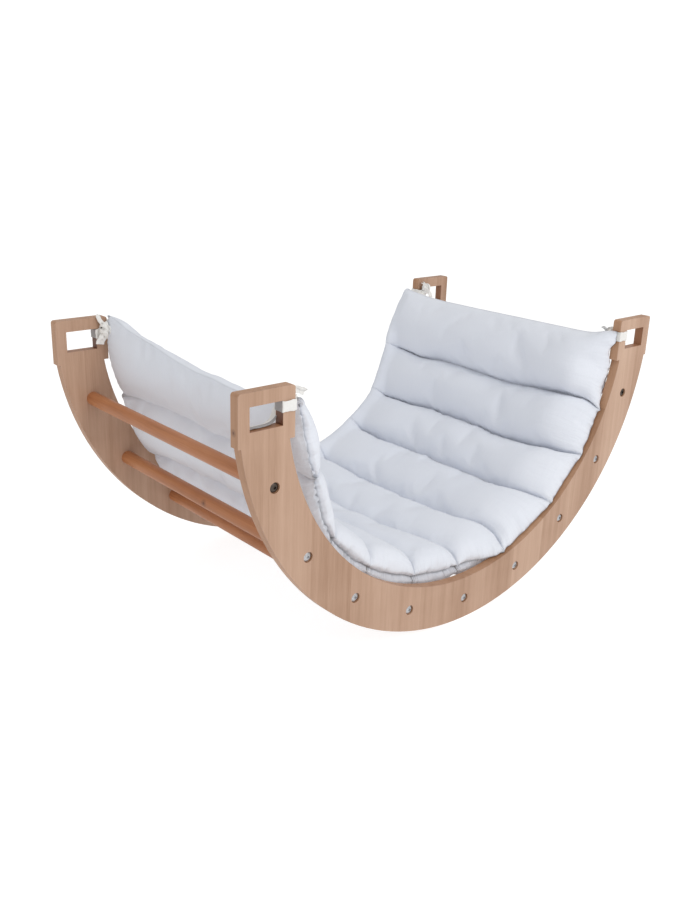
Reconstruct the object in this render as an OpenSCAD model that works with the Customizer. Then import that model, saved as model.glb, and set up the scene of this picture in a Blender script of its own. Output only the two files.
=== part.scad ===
/* [Frame] */
// Overall length of the rocker, head to head
arch_len = 1000; // [900:10:1100]
// Clear width between the two side panels
inner_w = 538; // [480:2:620]
// Thickness of each side panel
panel_t = 18; // [15:1:24]
// Depth of the curved runner, measured at its lowest point
ring_w = 81.5; // [76:0.5:86]
// Drop of the seat arc's centre below the runner arc's centre
arc_shift = 3; // [2:0.5:4]

/* [Heads] */
// Length of each squared head
head_w = 99; // [96:1:104]
// Height of each squared head
head_h = 79; // [76:1:84]
// Height of the head's top above the runner arc's centre
head_rise = 9; // [4:1:12]
// Radius of the head's rounded corners
head_r = 5; // [2:0.5:8]
// Length of the hand slot
slot_w = 58; // [54:1:60]
// Height of the hand slot
slot_h = 37; // [32:1:40]
// Wood left outside the hand slot
slot_end = 19.5; // [18:0.5:22]
// Wood left above the hand slot
slot_top = 20.7; // [18:0.1:24]

/* [Rungs and bolts] */
// Radius of each rung
rung_r = 12.5; // [11:0.5:14]
// Angle between neighbouring rungs
rung_step = 18.13; // [17.6:0.01:18.4]
// Distance from the seat arc to the rung circle
rung_in = 42; // [38:0.5:46]
// Radius of the bolt shank
bolt_r = 3.95; // [2.9:0.05:3.95]
// Radius of the bolt head
bolt_head_r = 7.8; // [7:0.1:8.2]
// Radius of the counterbore around the bolt head
cbore_r = 8.8; // [8.4:0.1:9.4]
// Depth of the counterbore
cbore_d = 3.6; // [3:0.1:5]
// Outer radius of the threaded insert
insert_r = 6; // [5:0.1:7]
// Length of the threaded insert
insert_l = 25; // [20:1:30]

/* [Cushion] */
// Width of the cushion
cush_w = 528; // [460:2:530]
// Thickness of each stuffed channel at its crown
cush_t = 80; // [60:1:84]
// Wall of the cover
cover_t = 2.7; // [2:0.1:4]
// How far each channel swells past its stitch line
swell = 13; // [8:1:15]

/* [Ties] */
// Width of the tie tape
tie_w = 18; // [12:1:20]
// Thickness of the tie tape
tie_t = 1.5; // [1:0.1:2]
// Radius of the knot
knot_r = 9.5; // [7:0.5:10]

/* [Hidden] */

run_r = arch_len / 2;          // runner arc, its centre at z = run_r
seat_z = run_r - arc_shift;    // centre of the seat arc and of the rung circle
seat_r = seat_z - ring_w;      // seat arc
rung_c = seat_r + rung_in;     // rung circle
head_top = run_r + head_rise;
head_bot = head_top - head_h;
head_in = run_r - head_w;      // inner edge of the head
slot_x1 = run_r - slot_end;
slot_x0 = slot_x1 - slot_w;
slot_z1 = head_top - slot_top;
slot_z0 = slot_z1 - slot_h;
half_w = inner_w / 2;
bolt_l = 36;
eps = 0.3;                     // clearance round the soft parts

// stitch lines of the cushion, from the middle outwards: angle from straight down, radius as a share of the rung circle
seams = [[0, 0.889], [16.6, 0.889], [33.2, 0.886], [49.8, 0.875], [66.4, 0.826], [87, 0.844]];

function side(i) = i < 0 ? -1 : 1;
function seam(i) = let (a = seams[abs(i)])
    [side(i) * a[1] * rung_c * sin(a[0]), seat_z - a[1] * rung_c * cos(a[0])];
function rung_x(i) = rung_c * sin((i - 4) * rung_step);
function rung_z(i) = seat_z - rung_c * cos((i - 4) * rung_step);

module wood() { color([0.77, 0.63, 0.51]) children(); }
module rung_wood() { color([0.68, 0.46, 0.33]) children(); }
module steel() { color([0.72, 0.72, 0.70]) children(); }
module brass() { color([0.78, 0.66, 0.38]) children(); }
module cotton() { color([0.93, 0.94, 0.97]) children(); }
module fibre() { color([0.98, 0.98, 0.98]) children(); }
module tape() { color([0.94, 0.92, 0.88]) children(); }

// ---------- side panels ----------

// square with its two upper corners rounded
module head_shape() {
    w = head_w; h = head_h; r = head_r;
    translate([head_in, head_bot]) union() {
        square([w, h - r]);
        translate([r, h - r - 1]) square([w - 2 * r, r + 1]);
        translate([r, h - r]) circle(r = r, $fn = 48);
        translate([w - r, h - r]) circle(r = r, $fn = 48);
    }
}

module panel_outline() {
    difference() {
        union() {
            difference() {
                translate([0, run_r]) circle(r = run_r, $fn = 256);
                translate([0, seat_z]) circle(r = seat_r, $fn = 256);
                translate([-run_r - 10, head_bot + 5]) square([arch_len + 20, run_r + head_h]);
            }
            // each head steps in a little over the runner's inner edge
            head_shape();
            mirror([1, 0]) head_shape();
        }
        for (s = [0, 1]) mirror([s, 0])
            translate([slot_x0, slot_z0]) square([slot_w, slot_h]);
    }
}

module at_rungs() {
    for (i = [0 : 8]) translate([rung_x(i), 0, rung_z(i)]) children();
}

// a cylinder along -Y whose start is at y
module along_y(y, r, h, fn = 48) {
    translate([0, y, 0]) rotate([90, 0, 0]) cylinder(r = r, h = h, $fn = fn);
}

module panel() {
    wood() difference() {
        translate([0, -half_w, 0]) rotate([90, 0, 0]) linear_extrude(panel_t) panel_outline();
        at_rungs() {
            along_y(-half_w + 1, bolt_r + 0.3, panel_t + 2);
            along_y(-half_w - panel_t + cbore_d, cbore_r, cbore_d + 1);
        }
    }
}

module side_panel_front() { panel(); }
module side_panel_back() { mirror([0, 1, 0]) panel(); }

// ---------- rungs ----------

module rung(i) {
    rung_wood() translate([rung_x(i), 0, rung_z(i)]) difference() {
        along_y(half_w, rung_r, inner_w, 96);
        along_y(half_w + 1, insert_r, insert_l + 2);
        along_y(-half_w + insert_l + 1, insert_r, insert_l + 2);
    }
}
module rung_1() { rung(0); }
module rung_2() { rung(1); }
module rung_3() { rung(2); }
module rung_4() { rung(3); }
module rung_5() { rung(4); }
module rung_6() { rung(5); }
module rung_7() { rung(6); }
module rung_8() { rung(7); }
module rung_9() { rung(8); }

// ---------- bolts and inserts ----------

// button-head bolt along +Y, its head in the counterbore
module bolt() {
    seat_y = -half_w - panel_t + cbore_d;
    dome = 14;
    difference() {
        union() {
            along_y(seat_y + bolt_l, bolt_r, bolt_l);
            along_y(seat_y, bolt_head_r, 1);
            intersection() {
                along_y(seat_y, bolt_head_r, 5);
                translate([0, seat_y + dome - 3.2, 0]) sphere(r = dome, $fn = 96);
            }
        }
        // hexagon socket
        translate([0, seat_y - 0.9, 0]) rotate([90, 0, 0]) cylinder(r = 2.9, h = 5, $fn = 6);
    }
}
module bolts() { steel() at_rungs() bolt(); }
module rung_bolts_front() { bolts(); }
module rung_bolts_back() { mirror([0, 1, 0]) bolts(); }

module inserts() {
    brass() at_rungs() difference() {
        along_y(-half_w + insert_l, insert_r, insert_l);
        along_y(-half_w + insert_l + 1, bolt_r + 0.05, insert_l + 2);
    }
}
module rung_inserts_front() { inserts(); }
module rung_inserts_back() { mirror([0, 1, 0]) inserts(); }

// ---------- cushion ----------

// lens between two stitch lines; past is how far it runs beyond them
module channel(a, b, past, thick) {
    h = norm(b - a) / 2 + past;
    k = thick / 2;
    r = (h * h + k * k) / (2 * k);
    translate((a + b) / 2) rotate(atan2(b[1] - a[1], b[0] - a[0])) intersection() {
        translate([0, r - k]) circle(r = r, $fn = 128);
        translate([0, k - r]) circle(r = r, $fn = 128);
    }
}

// the stuffing's space in one channel, less a skin of thickness skin
module core(a, b, skin) {
    h = norm(b - a) / 2;
    intersection() {
        channel(a, b, swell - skin, cush_t - 2 * skin);
        translate((a + b) / 2) rotate(atan2(b[1] - a[1], b[0] - a[0]))
            translate([-h + skin + 2, -cush_t]) square([2 * h - 2 * skin - 4, 2 * cush_t]);
    }
}

module across(w) {
    translate([0, w / 2, 0]) rotate([90, 0, 0]) linear_extrude(w) children();
}

module cushion_cover() {
    cotton() difference() {
        across(cush_w) union() {
            for (i = [-5 : 4]) channel(seam(i), seam(i + 1), swell, cush_t);
        }
        for (i = [-5 : 4]) across(cush_w - 2 * cover_t) core(seam(i), seam(i + 1), cover_t);
    }
}

module stuffing(i) {
    fibre() across(cush_w - 2 * cover_t - 2 * eps)
        core(seam(i - 6), seam(i - 5), cover_t + eps);
}
module cushion_fill_1() { stuffing(1); }
module cushion_fill_2() { stuffing(2); }
module cushion_fill_3() { stuffing(3); }
module cushion_fill_4() { stuffing(4); }
module cushion_fill_5() { stuffing(5); }
module cushion_fill_6() { stuffing(6); }
module cushion_fill_7() { stuffing(7); }
module cushion_fill_8() { stuffing(8); }
module cushion_fill_9() { stuffing(9); }
module cushion_fill_10() { stuffing(10); }

// ---------- ties ----------

// tape looped round the head's inner post, knotted inside it, its ends hanging; for the +X, +Y corner
module tie() {
    g = eps; t = tie_t;
    x0 = head_in - g; x1 = slot_x0 + g;
    y0 = half_w - g; y1 = half_w + panel_t + g;
    z0 = slot_z1 - 4 - tie_w;
    kz = z0 + tie_w / 2 + 1;
    kx = head_in + 5.5;
    ky = y0 - t - knot_r + 1;
    tape() union() {
        difference() {
            translate([x0 - t, y0 - t, z0]) cube([x1 - x0 + 2 * t, y1 - y0 + 2 * t, tie_w]);
            translate([x0, y0, z0 - 1]) cube([x1 - x0, y1 - y0, tie_w + 2]);
        }
        translate([kx, ky, kz]) sphere(r = knot_r, $fn = 64);
        // end sewn into the cushion's corner
        translate([head_in - 20, ky - 8, kz + 8]) cube([22, 16, t]);
        // loose ends
        translate([kx - 1, ky - 7, kz]) cube([t, 14, 25]);
        translate([kx + 3, ky - 6, kz - 38]) cube([t, 13, 36]);
    }
}
module tie_front_left() { rotate([0, 0, 180]) tie(); }
module tie_front_right() { mirror([0, 1, 0]) tie(); }
module tie_back_left() { mirror([1, 0, 0]) tie(); }
module tie_back_right() { tie(); }

side_panel_front();
side_panel_back();
rung_1();
rung_2();
rung_3();
rung_4();
rung_5();
rung_6();
rung_7();
rung_8();
rung_9();
rung_bolts_front();
rung_bolts_back();
rung_inserts_front();
rung_inserts_back();
cushion_cover();
cushion_fill_1();
cushion_fill_2();
cushion_fill_3();
cushion_fill_4();
cushion_fill_5();
cushion_fill_6();
cushion_fill_7();
cushion_fill_8();
cushion_fill_9();
cushion_fill_10();
tie_front_left();
tie_front_right();
tie_back_left();
tie_back_right();
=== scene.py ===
import math
import bpy
import bmesh
import numpy as np
from mathutils import Matrix, Vector


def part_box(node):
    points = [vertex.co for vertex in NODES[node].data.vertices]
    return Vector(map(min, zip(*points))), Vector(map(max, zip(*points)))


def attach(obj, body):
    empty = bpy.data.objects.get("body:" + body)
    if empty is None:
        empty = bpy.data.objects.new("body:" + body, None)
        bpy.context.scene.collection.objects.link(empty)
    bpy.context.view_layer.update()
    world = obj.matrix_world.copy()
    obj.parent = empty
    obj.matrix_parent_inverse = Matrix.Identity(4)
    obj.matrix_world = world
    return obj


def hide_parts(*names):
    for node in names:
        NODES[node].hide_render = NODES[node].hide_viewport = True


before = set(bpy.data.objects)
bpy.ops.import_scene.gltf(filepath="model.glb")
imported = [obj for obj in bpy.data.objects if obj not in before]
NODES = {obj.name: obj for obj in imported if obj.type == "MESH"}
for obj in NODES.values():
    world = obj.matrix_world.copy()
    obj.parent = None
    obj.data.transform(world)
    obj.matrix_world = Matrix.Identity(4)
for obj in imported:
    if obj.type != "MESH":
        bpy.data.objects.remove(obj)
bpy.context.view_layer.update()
scene = bpy.context.scene

# ---------------------------------------------------------------- sizes taken from the frame
CZ = 0.497                       # height of the common centre of the seat arc and the rung circle
SEAT_R = 0.4155                  # inner edge of the side panels
FACE = -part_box("side_panel_front")[1][1]        # inner face of a panel, y = +-FACE
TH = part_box("side_panel_front")[1][1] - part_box("side_panel_front")[0][1]
RUNGS = []
for k in range(1, 10):
    lo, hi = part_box(f"rung_{k}")
    RUNGS.append(((lo[0] + hi[0]) / 2, (lo[2] + hi[2]) / 2, (hi[0] - lo[0]) / 2))


# ---------------------------------------------------------------- camera
def make_camera():
    yaw, pitch, roll, dist, f = math.radians(41.87), math.radians(19.379), math.radians(2.008), 1.8647, 957.352
    target = Vector((-0.0369, 0.0, 0.2527))
    fwd = Vector((math.sin(yaw) * math.cos(pitch), math.cos(yaw) * math.cos(pitch), -math.sin(pitch)))
    right = fwd.cross(Vector((0, 0, 1))).normalized()
    up = right.cross(fwd)
    r2 = math.cos(roll) * right + math.sin(roll) * up
    u2 = -math.sin(roll) * right + math.cos(roll) * up
    cam = bpy.data.cameras.new("camera")
    cam.sensor_fit = "AUTO"
    cam.sensor_width = 36.0
    cam.lens = f * 36.0 / 900.0
    cam.clip_start, cam.clip_end = 0.02, 200.0
    o = bpy.data.objects.new("camera", cam)
    scene.collection.objects.link(o)
    m = Matrix((r2, u2, -fwd)).transposed().to_4x4()
    m.translation = target - fwd * dist
    o.matrix_world = m
    scene.camera = o


make_camera()
scene.view_settings.view_transform = "Standard"
scene.view_settings.look = "None"
scene.view_settings.exposure = 0.0


# ---------------------------------------------------------------- small helpers
def srgb(r, g, b):
    out = []
    for c in (r, g, b):
        c = c / 255.0
        out.append(c / 12.92 if c <= 0.04045 else ((c + 0.055) / 1.055) ** 2.4)
    return (*out, 1.0)


def sines(seed, n, lo, hi, dims=2):
    """A smooth noise made of n waves with wavelengths from lo to hi metres, about -1 to 1."""
    rng = np.random.default_rng(seed)
    d = rng.normal(size=(n, dims))
    d /= np.linalg.norm(d, axis=1)[:, None]
    k = 2 * np.pi / np.exp(rng.uniform(np.log(lo), np.log(hi), n))
    ph = rng.uniform(0, 2 * np.pi, n)

    def f(*p):
        p = np.stack(np.broadcast_arrays(*p), -1)
        return np.sin((p @ (d * k[:, None]).T) + ph).sum(-1) / math.sqrt(n)

    return f


def smooth(e0, e1, x):
    t = np.clip((np.asarray(x, float) - e0) / (e1 - e0), 0, 1)
    return t * t * (3 - 2 * t)


def new_object(name, verts, faces, uvs=None):
    me = bpy.data.meshes.new(name)
    me.from_pydata([tuple(map(float, v)) for v in verts], [], [tuple(int(i) for i in f) for f in faces])
    me.update()
    if uvs is not None:
        lay = me.uv_layers.new(name="cloth")
        lay.data.foreach_set("uv", np.asarray(uvs, np.float32).ravel())
    ob = bpy.data.objects.new(name, me)
    scene.collection.objects.link(ob)
    return ob


def shade_smooth(ob):
    ob.data.polygons.foreach_set("use_smooth", [True] * len(ob.data.polygons))
    ob.data.update()


# ---------------------------------------------------------------- materials
class Graph:
    def __init__(self, name):
        self.mat = bpy.data.materials.new(name)
        self.mat.use_nodes = True
        self.t = self.mat.node_tree
        self.t.nodes.clear()
        self.out = self.t.nodes.new("ShaderNodeOutputMaterial")

    def node(self, kind, **kw):
        n = self.t.nodes.new(kind)
        for k, v in kw.items():
            setattr(n, k, v)
        return n

    def link(self, a, b):
        self.t.links.new(a, b)

    def coords(self, scale=(1, 1, 1), kind="Object", rot=(0, 0, 0)):
        c = self.node("ShaderNodeTexCoord")
        m = self.node("ShaderNodeMapping")
        m.inputs["Scale"].default_value = scale
        m.inputs["Rotation"].default_value = rot
        self.link(c.outputs[kind], m.inputs["Vector"])
        return m.outputs["Vector"]

    def noise(self, vec, scale=1.0, detail=4.0, rough=0.55, dist=0.0):
        n = self.node("ShaderNodeTexNoise")
        n.inputs["Scale"].default_value = scale
        n.inputs["Detail"].default_value = detail
        n.inputs["Roughness"].default_value = rough
        n.inputs["Distortion"].default_value = dist
        self.link(vec, n.inputs["Vector"])
        return n.outputs["Fac"]

    def ramp(self, fac, stops, interp="LINEAR"):
        r = self.node("ShaderNodeValToRGB")
        r.color_ramp.interpolation = interp
        el = r.color_ramp.elements
        while len(el) < len(stops):
            el.new(0.5)
        for e, (p, c) in zip(el, stops):
            e.position = p
            e.color = c if len(c) == 4 else (*c, 1)
        self.link(fac, r.inputs["Fac"])
        return r.outputs["Color"]

    def math(self, op, a, b=None, c=None, clamp=False):
        n = self.node("ShaderNodeMath", operation=op, use_clamp=clamp)
        for i, v in enumerate((a, b, c)):
            if v is None:
                continue
            if isinstance(v, (int, float)):
                n.inputs[i].default_value = v
            else:
                self.link(v, n.inputs[i])
        return n.outputs[0]

    def mix(self, fac, a, b, blend="MIX"):
        n = self.node("ShaderNodeMix", data_type="RGBA", blend_type=blend)
        for i, v in ((0, fac), (6, a), (7, b)):
            if isinstance(v, (int, float)):
                n.inputs[i].default_value = v
            elif isinstance(v, tuple):
                n.inputs[i].default_value = v
            else:
                self.link(v, n.inputs[i])
        return n.outputs[2]

    def bump(self, height, strength, distance, normal=None):
        n = self.node("ShaderNodeBump")
        n.inputs["Strength"].default_value = strength
        n.inputs["Distance"].default_value = distance
        self.link(height, n.inputs["Height"])
        if normal is not None:
            self.link(normal, n.inputs["Normal"])
        return n.outputs["Normal"]

    def shader(self, color, rough, normal=None, metallic=0.0, sheen=0.0, coat=0.0, spec=0.5):
        s = self.node("ShaderNodeBsdfPrincipled")
        if isinstance(color, tuple):
            s.inputs["Base Color"].default_value = color
        else:
            self.link(color, s.inputs["Base Color"])
        if isinstance(rough, (int, float)):
            s.inputs["Roughness"].default_value = rough
        else:
            self.link(rough, s.inputs["Roughness"])
        s.inputs["Metallic"].default_value = metallic
        s.inputs["Specular IOR Level"].default_value = spec
        if sheen:
            s.inputs["Sheen Weight"].default_value = sheen
            s.inputs["Sheen Roughness"].default_value = 0.4
        if coat:
            s.inputs["Coat Weight"].default_value = coat
            s.inputs["Coat Roughness"].default_value = 0.35
        if normal is not None:
            self.link(normal, s.inputs["Normal"])
        self.link(s.outputs["BSDF"], self.out.inputs["Surface"])
        return s


def wood(name, light, mid, dark, along, boards=0.0, knots=(), rough=0.5, contrast=1.0):
    """Sawn timber. along is the grain's axis, boards the width of the glued staves, knots a list of (x, y, z, r)."""
    g = Graph(name)
    stretch = [1.0, 1.0, 1.0]
    stretch["xyz".index(along)] = 0.035
    vec = g.coords(tuple(stretch))
    warp = g.coords(tuple([6.0 if i == "xyz".index(along) else 1.0 for i in range(3)]))
    w = g.noise(warp, 2.2, 2.0)
    # growth rings drawn out along the grain
    rings = g.noise(vec, 95.0, 5.0, 0.62, 0.25)
    fine = g.noise(vec, 620.0, 3.0, 0.6)
    pores = g.noise(g.coords(tuple([0.018 if i == "xyz".index(along) else 1.0 for i in range(3)])), 1500.0, 2.0, 0.7)
    broad = g.noise(vec, 13.0, 2.0, 0.5)
    f = g.math("MULTIPLY_ADD", g.math("SUBTRACT", rings, 0.5), 0.75 * contrast, 0.5)
    f = g.math("MULTIPLY_ADD", g.math("SUBTRACT", fine, 0.5), 0.38 * contrast, f)
    f = g.math("MULTIPLY_ADD", g.math("SUBTRACT", broad, 0.5), 0.95 * contrast, f)
    f = g.math("MULTIPLY_ADD", g.math("SUBTRACT", w, 0.5), 0.25, f)
    if boards:
        # staves glued side by side: each has a tone of its own, with a thin joint line between
        c = g.node("ShaderNodeTexCoord")
        sep = g.node("ShaderNodeSeparateXYZ")
        g.link(c.outputs["Object"], sep.inputs[0])
        u = g.math("DIVIDE", g.math("ADD", sep.outputs["X"], 5.013), boards)
        cell = g.math("FLOOR", u)
        wn = g.node("ShaderNodeTexWhiteNoise", noise_dimensions="1D")
        g.link(cell, wn.inputs["W"])
        f = g.math("MULTIPLY_ADD", g.math("SUBTRACT", wn.outputs["Value"], 0.5), 0.22, f)
        edge = g.math("ABSOLUTE", g.math("SUBTRACT", g.math("FRACT", u), 0.5))
        line = g.math("GREATER_THAN", edge, 0.5 - 0.0004 / boards)
        f = g.math("MULTIPLY_ADD", line, -0.12, f)
    col = g.ramp(f, [(0.12, dark), (0.5, mid), (0.86, light)])
    if boards:
        # sawn rims take up more oil than the planed faces, and their darker colour also stands in as painted shade of
        # the rim faces turned from the light; the hand slots get painted shade, darkest on the inner post's side
        ay = g.math("ABSOLUTE", sep.outputs["Y"])
        rim = g.math("MULTIPLY", g.math("GREATER_THAN", ay, 0.2698), g.math("LESS_THAN", ay, 0.2862))
        col = g.mix(rim, col, (0.92, 0.80, 0.67, 1), "MULTIPLY")
        ax = g.math("ABSOLUTE", sep.outputs["X"])
        # painted shade in the hand slots' rims, with deeper painted shade on the inner post's side
        slot_shade_mask = g.math("MULTIPLY", g.math("MULTIPLY", g.math("GREATER_THAN", ax, 0.4215), g.math("LESS_THAN", ax, 0.4815)),
                      g.math("MULTIPLY", g.math("GREATER_THAN", sep.outputs["Z"], 0.4505), g.math("LESS_THAN", sep.outputs["Z"], 0.489)))
        col = g.mix(g.math("MULTIPLY", slot_shade_mask, rim), col, (0.82, 0.72, 0.66, 1), "MULTIPLY")
        post_side_shade = g.math("MULTIPLY", g.math("LESS_THAN", ax, 0.4235), slot_shade_mask)
        col = g.mix(g.math("MULTIPLY", post_side_shade, rim), col, (0.42, 0.33, 0.30, 1), "MULTIPLY")
    height = g.math("MULTIPLY_ADD", fine, 0.5, g.math("MULTIPLY", rings, 0.5))
    dots = g.math("GREATER_THAN", pores, 0.66)
    col = g.mix(g.math("MULTIPLY", dots, 0.16), col, dark)
    for kx, ky, kz, kr in knots:
        c = g.node("ShaderNodeTexCoord")
        d = g.node("ShaderNodeVectorMath", operation="SUBTRACT")
        g.link(c.outputs["Object"], d.inputs[0])
        d.inputs[1].default_value = (kx, ky, kz)
        e = g.node("ShaderNodeVectorMath", operation="LENGTH")
        g.link(d.outputs[0], e.inputs[0])
        r = g.math("DIVIDE", e.outputs["Value"], kr)
        swirl = g.math("SINE", g.math("MULTIPLY", r, 9.0))
        inside = g.math("SUBTRACT", 1.0, r, clamp=True)
        a = g.math("MULTIPLY", g.math("POWER", inside, 0.8), g.math("MULTIPLY_ADD", swirl, 0.15, 0.8), clamp=True)
        col = g.mix(a, col, srgb(96, 58, 36))
    rg = g.math("MULTIPLY_ADD", f, -0.10, rough + 0.05)
    nrm = g.bump(g.math("SUBTRACT", height, g.math("MULTIPLY", dots, 0.5)), 0.35, 0.0006)
    g.shader(col, rg, nrm, coat=0.10, spec=0.35)
    return g.mat


def steel(name):
    g = Graph(name)
    c = g.node("ShaderNodeTexCoord")
    sep = g.node("ShaderNodeSeparateXYZ")
    g.link(c.outputs["Object"], sep.inputs[0])
    n = g.noise(g.coords((1, 1, 1)), 900.0, 3.0)
    # painted shade: the outermost bolts, at |x| > 0.42, are coloured dark
    far = g.math("GREATER_THAN", g.math("ABSOLUTE", sep.outputs["X"]), 0.42)
    col = g.ramp(n, [(0.3, srgb(176, 176, 178)), (0.7, srgb(222, 222, 224))])
    col = g.mix(far, col, srgb(92, 84, 78))
    rg = g.math("MULTIPLY_ADD", n, 0.18, 0.24)
    g.shader(col, rg, g.bump(n, 0.15, 0.0003), metallic=1.0)
    return g.mat


def brass(name):
    g = Graph(name)
    n = g.noise(g.coords((1, 1, 1)), 700.0, 3.0)
    col = g.ramp(n, [(0.3, srgb(176, 134, 62)), (0.7, srgb(214, 176, 98))])
    g.shader(col, g.math("MULTIPLY_ADD", n, 0.2, 0.28), g.bump(n, 0.2, 0.0003), metallic=1.0)
    return g.mat


def cloth(name, light, dark, thread=0.0011, seams=False, sheen=0.25, depth=0.00035, strength=0.55):
    """A plain weave, laid along the piece's own cloth coordinates, in metres."""
    g = Graph(name)
    uv = g.node("ShaderNodeUVMap", uv_map="cloth")
    sep = g.node("ShaderNodeSeparateXYZ")
    g.link(uv.outputs["UV"], sep.inputs[0])
    jit = g.noise(uv.outputs["UV"], 60.0, 2.0)
    k = 2 * math.pi / thread
    a = g.math("SINE", g.math("MULTIPLY_ADD", jit, 2.4, g.math("MULTIPLY", sep.outputs["X"], k)))
    b = g.math("SINE", g.math("MULTIPLY_ADD", jit, -2.1, g.math("MULTIPLY", sep.outputs["Y"], k)))
    weave = g.math("MULTIPLY_ADD", g.math("MULTIPLY", a, b), 0.5, 0.5)
    stretch = g.node("ShaderNodeMapping")
    stretch.inputs["Scale"].default_value = (1.0, 14.0, 1.0)
    g.link(uv.outputs["UV"], stretch.inputs["Vector"])
    slub = g.noise(stretch.outputs[0], 34.0, 3.0, 0.6)
    obj = g.coords((1, 1, 1))
    broad = g.noise(obj, 7.0, 3.0, 0.5)
    crease = g.noise(obj, 46.0, 4.0, 0.6, 0.6)
    f = g.math("MULTIPLY_ADD", g.math("SUBTRACT", broad, 0.5), 0.5, 0.55)
    f = g.math("MULTIPLY_ADD", g.math("SUBTRACT", slub, 0.5), 0.35, f)
    f = g.math("MULTIPLY_ADD", g.math("SUBTRACT", weave, 0.5), 0.30, f)
    col = g.ramp(f, [(0.1, dark), (0.9, light)])
    if seams:
        # painted shade: the lower layer darkens towards the sewn edge, where it sits under the upper layer
        at = {}
        for key in ("d_end", "d_seam", "layer", "d_rim"):
            at[key] = g.node("ShaderNodeAttribute", attribute_name=key).outputs["Fac"]
        under = g.math("MULTIPLY", at["layer"], g.math("POWER", 2.718, g.math("MULTIPLY", at["d_end"], -40.0)))
        col = g.mix(g.math("MULTIPLY", under, 0.5), col, srgb(190, 189, 196))
        # painted shade lines along the sewn edges, the free rims and the channel seams, where the cloth dips into
        # grooves
        for key, width, much in (("d_end", 0.0036, 0.55), ("d_rim", 0.0036, 0.16), ("d_seam", 0.0030, 0.12)):
            near = g.math("SUBTRACT", 1.0, g.math("DIVIDE", at[key], width), clamp=True)
            col = g.mix(g.math("MULTIPLY", g.math("POWER", near, 1.3), much), col, srgb(112, 113, 118))
        # where a channel seam meets the sewn edge the cloth is drawn in, and sits in shadow
        a1 = g.math("SUBTRACT", 1.0, g.math("DIVIDE", at["d_end"], 0.016), clamp=True)
        a2 = g.math("SUBTRACT", 1.0, g.math("DIVIDE", at["d_seam"], 0.011), clamp=True)
        col = g.mix(g.math("MULTIPLY", g.math("MULTIPLY", a1, a2), 0.75), col, srgb(104, 102, 106))
    n1 = g.bump(crease, 0.16, 0.004)
    if seams:
        # fine gathers run in from the sewn edge
        run = g.node("ShaderNodeMapping")
        run.inputs["Scale"].default_value = (1.0, 0.22, 1.0)
        g.link(uv.outputs["UV"], run.inputs["Vector"])
        pleat = g.noise(run.outputs[0], 115.0, 3.0, 0.55, 0.3)
        mask = g.math("POWER", 2.718, g.math("MULTIPLY", at["d_end"], -42.0))
        n1 = g.bump(g.math("MULTIPLY", pleat, mask), 1.0, 0.0075, n1)
        # painted shade in the troughs of the gathers, stronger on the lower layer
        pleat_shade = g.math("MULTIPLY", g.math("SUBTRACT", 0.50, pleat), 5.0, clamp=True)
        amount = g.math("MULTIPLY_ADD", at["layer"], 0.45, 0.12)
        col = g.mix(g.math("MULTIPLY", g.math("MULTIPLY", pleat_shade, mask), amount), col, srgb(138, 136, 142))
        # the outer layer opens a little at each seam, and the gap is in shadow
        a3 = g.math("SUBTRACT", 1.0, g.math("DIVIDE", at["d_seam"], 0.010), clamp=True)
        a3 = g.math("MULTIPLY", g.math("MULTIPLY", a3, at["layer"]), g.math("POWER", 2.718, g.math("MULTIPLY", at["d_end"], -26.0)))
        col = g.mix(g.math("MULTIPLY", a3, 0.9, clamp=True), col, srgb(118, 108, 96))
    n2 = g.bump(g.math("MULTIPLY_ADD", slub, 0.5, weave), strength, depth, n1)
    if not seams:
        sep2 = g.node("ShaderNodeSeparateXYZ")
        g.link(obj, sep2.inputs[0])
        ay = g.math("ABSOLUTE", sep2.outputs["Y"])
        # painted shade on the tape where it runs inside the hand slots
        tape_slot_shade = g.math("MULTIPLY", g.math("GREATER_THAN", g.math("ABSOLUTE", sep2.outputs["X"]), 0.4228),
                     g.math("MULTIPLY", g.math("GREATER_THAN", ay, 0.2692), g.math("LESS_THAN", ay, 0.2868)))
        col = g.mix(g.math("MULTIPLY", tape_slot_shade, 0.75), col, srgb(140, 139, 142))
    g.shader(col, g.math("MULTIPLY_ADD", weave, -0.08, 0.90), n2, sheen=sheen, spec=0.25)
    return g.mat


M_PANEL = wood("beech_panel", srgb(207, 174, 150), srgb(190, 155, 131), srgb(163, 126, 100), "z", boards=0.083,
               knots=[(-0.5, -0.276, 0.452, 0.0065), (0.498, -0.283, 0.455, 0.004)], rough=0.46, contrast=0.8)
M_RUNG = wood("beech_rung", srgb(204, 143, 99), srgb(183, 119, 77), srgb(144, 88, 52), "y",
              knots=[(-0.3845, -0.016, 0.232, 0.008)], rough=0.44, contrast=0.9)
M_STEEL = steel("socket_steel")
M_BRASS = brass("insert_brass_metal")
M_COVER = cloth("cover_cloth", srgb(240, 243, 250), srgb(228, 232, 241), seams=True)
M_TAPE = cloth("tie_cloth", srgb(250, 249, 246), srgb(238, 235, 230), thread=0.0013, sheen=0.2, depth=0.0005)


def finish_node(name, mat, bevel=None):
    o = NODES[name]
    o = o[0] if isinstance(o, (list, tuple)) else o
    for s in o.material_slots:
        s.material = mat
    if bevel:
        w = o.modifiers.new("weld", "WELD")
        w.merge_threshold = 0.00002
        b = o.modifiers.new("bevel", "BEVEL")
        b.width, b.segments = bevel, 3
        b.limit_method, b.angle_limit = "ANGLE", math.radians(50)
        b.harden_normals = False
        n = o.modifiers.new("normals", "WEIGHTED_NORMAL")
        n.keep_sharp = True
        n.weight = 50
    return o


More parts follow.
